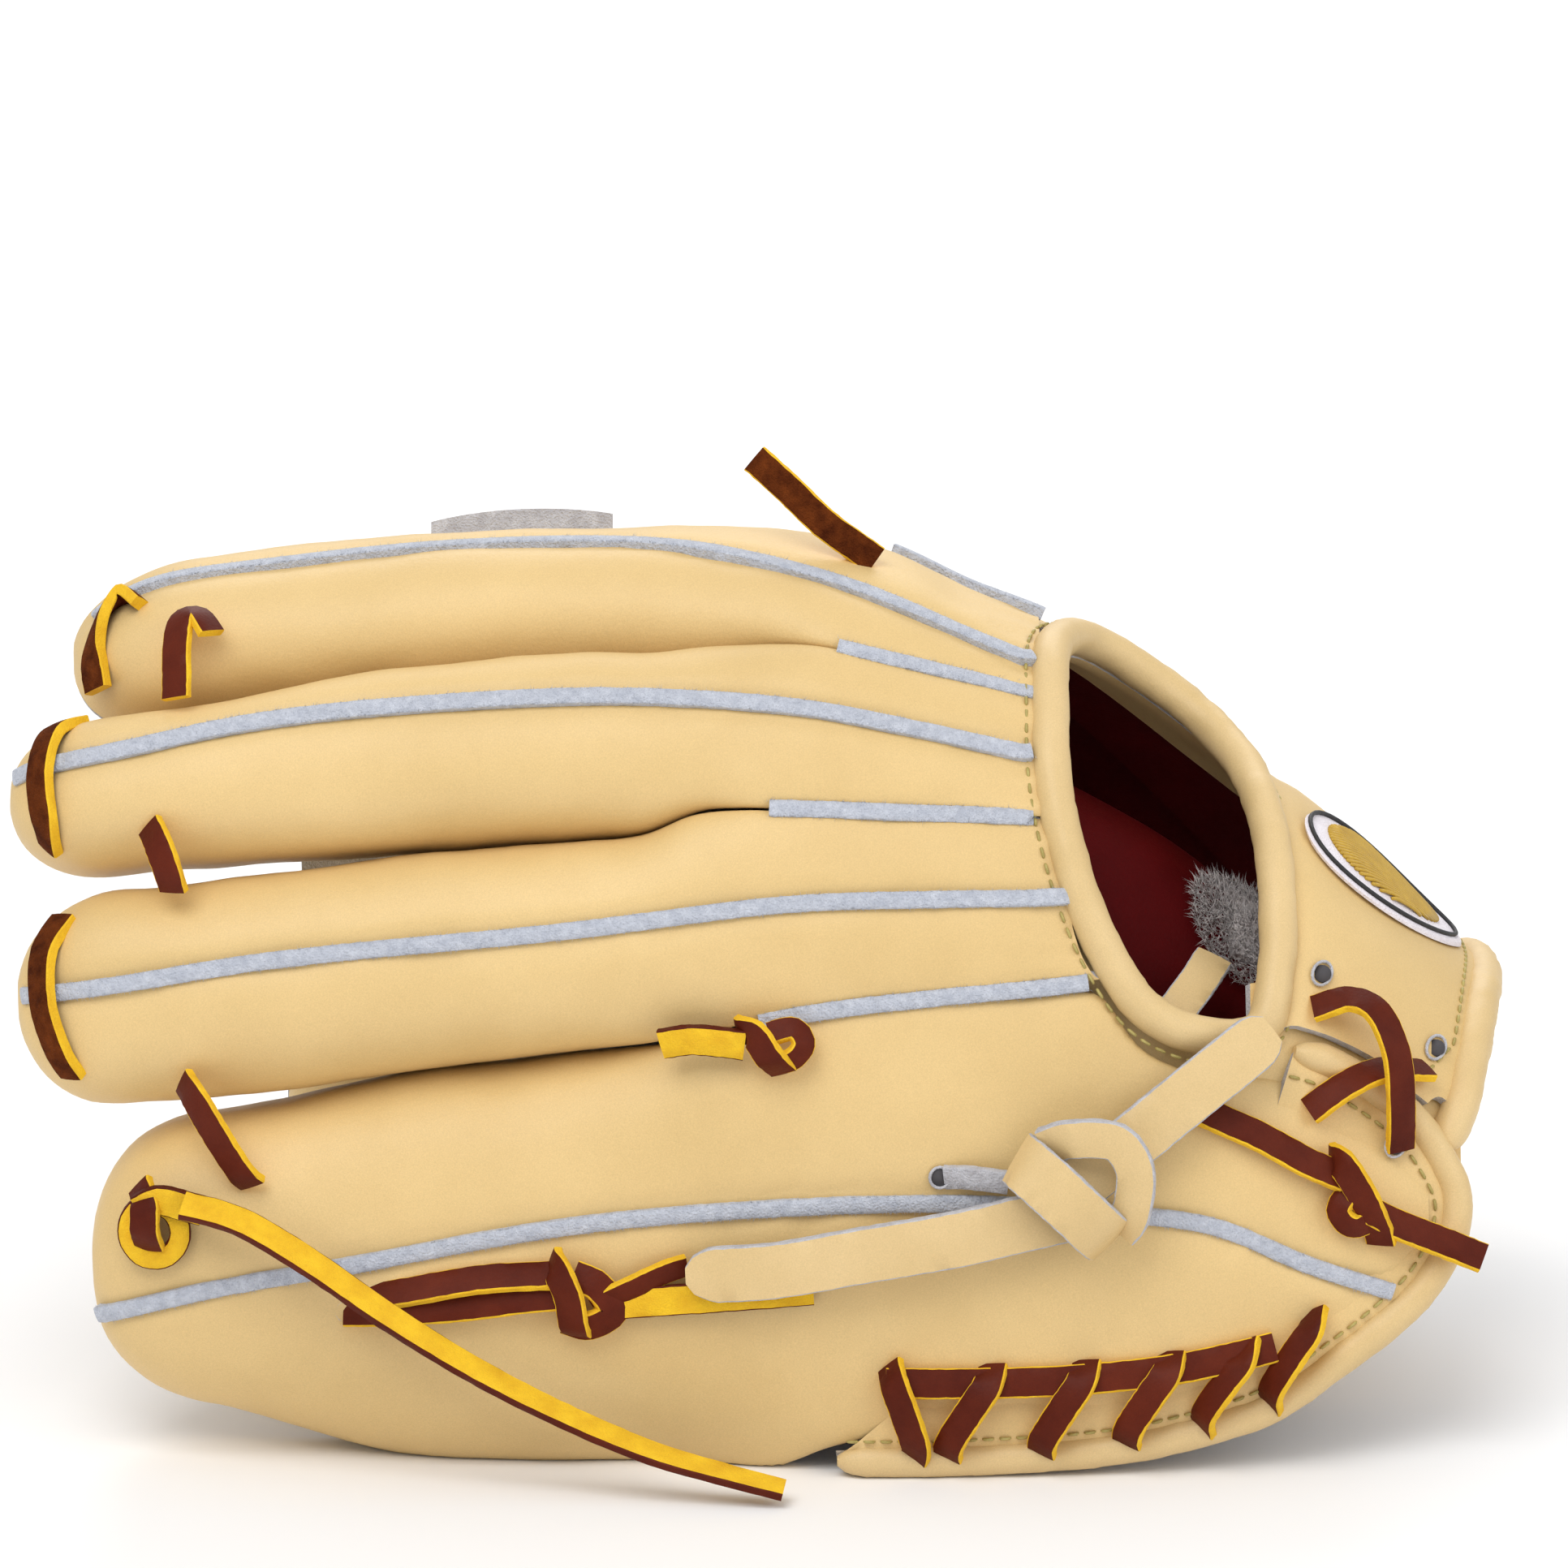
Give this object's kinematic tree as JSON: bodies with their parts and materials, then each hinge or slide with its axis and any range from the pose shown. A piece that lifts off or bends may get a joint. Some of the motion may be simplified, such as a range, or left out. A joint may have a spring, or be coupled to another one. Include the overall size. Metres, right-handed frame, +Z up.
{
  "type": "baseball glove",
  "caption": "Open-back leather fielder's glove standing on its edges, with laced finger stalls, a two-piece web, an open pocket and a wrist strap with a sliding pull strap.",
  "frame": {"origin": "on the floor, under the middle of the glove's box", "axes": "+X from the fingertips to the wrist, -Y the little finger's side, +Z up, glove standing like a tent on its little finger's and thumb's edges with the back of the hand up"},
  "size_m": [0.3113, 0.1782, 0.1992],
  "materials": {
    "leather": "smooth blonde full-grain steerhide, satin, fine grain",
    "rolled_edge": "thin tan leather rolled over the edge and stitched with olive thread",
    "seam_strip": "raw split edge of grey leather, fuzzy",
    "lace": "dark brown rawhide lace with yellow cut edges",
    "tan_strap": "thick tan strap leather with grey raw edges",
    "lining": "dark red soft lining leather, matt",
    "fleece": "white woolly fleece",
    "felt": "white felt",
    "embroidery": "plain gold satin stitch",
    "padding": "wool felt padding and stiffener, hidden inside"
  },
  "bodies": {
    "root": {"cross_lace_over": "lace", "cross_lace_under": "lace", "crotch_panel": "leather", "felt_patch": "felt", "gap_knot": "lace", "hand_hole_binding": "rolled_edge", "heel_binding": "rolled_edge", "heel_whip_lace": "lace", "index_back_panel": "leather", "index_middle_gap_strip": "seam_strip", "index_middle_lace": "lace", "index_seam_strip": "seam_strip", "index_stall": "leather", "index_tip_lace": "lace", "inner_finger_loop": "tan_strap", "long_lace": "lace", "middle_back_panel": "leather", "middle_ring_gap_strip": "seam_strip", "middle_ring_lace": "lace", "middle_seam_strip": "seam_strip", "middle_stall": "leather", "middle_tip_lace": "lace", "palm_leather": "leather", "palm_lining": "lining", "palm_padding": "padding", "patch_embroidery": "embroidery", "pinky_back_knot": "lace", "pinky_back_lace": "lace", "pinky_back_tail": "lace", "pinky_heel_panel": "leather", "pinky_insert": "padding", "pinky_seam_strip": "seam_strip", "pinky_stall": "leather", "pinky_tip_knot": "lace", "pull_strap": "tan_strap", "ring_back_panel": "leather", "ring_pinky_gap_strip": "seam_strip", "ring_pinky_lace": "lace", "ring_seam_strip": "seam_strip", "ring_stall": "leather", "ring_tip_lace": "lace", "strap_edge_roll": "rolled_edge", "strap_fleece": "fleece", "top_lace_end": "lace", "web_index_half": "leather", "web_index_lace": "lace", "wrist_lace": "lace", "wrist_lace_knot": "lace", "wrist_lace_tail": "lace", "wrist_strap": "leather"},
    "thumb_side": {"thumb_stall": "leather", "thumb_face_leather": "leather", "thumb_palm_leather": "leather", "thumb_heel_panel": "leather", "thumb_seam_strip": "seam_strip", "thumb_insert": "padding", "web_thumb_half": "leather", "web_thumb_lace": "lace"},
    "strap_knot": {"pull_strap_knot": "tan_strap", "pull_strap_tail": "tan_strap"}
  },
  "joints": [
    {"name": "thumb_fold", "type": "hinge", "parent": "root", "child": "thumb_side", "pos_m": [-0.1325, 0.0443, 0.112], "axis": [-0.99, 0, 0.1409], "range_deg": [-12, 30], "stiffness_Nm_per_rad": 8},
    {"name": "strap_knot_slide", "type": "slide", "parent": "root", "child": "strap_knot", "axis": [0.7752, 0.286, 0.5632], "range_m": [0, 0.008]}
  ]
}
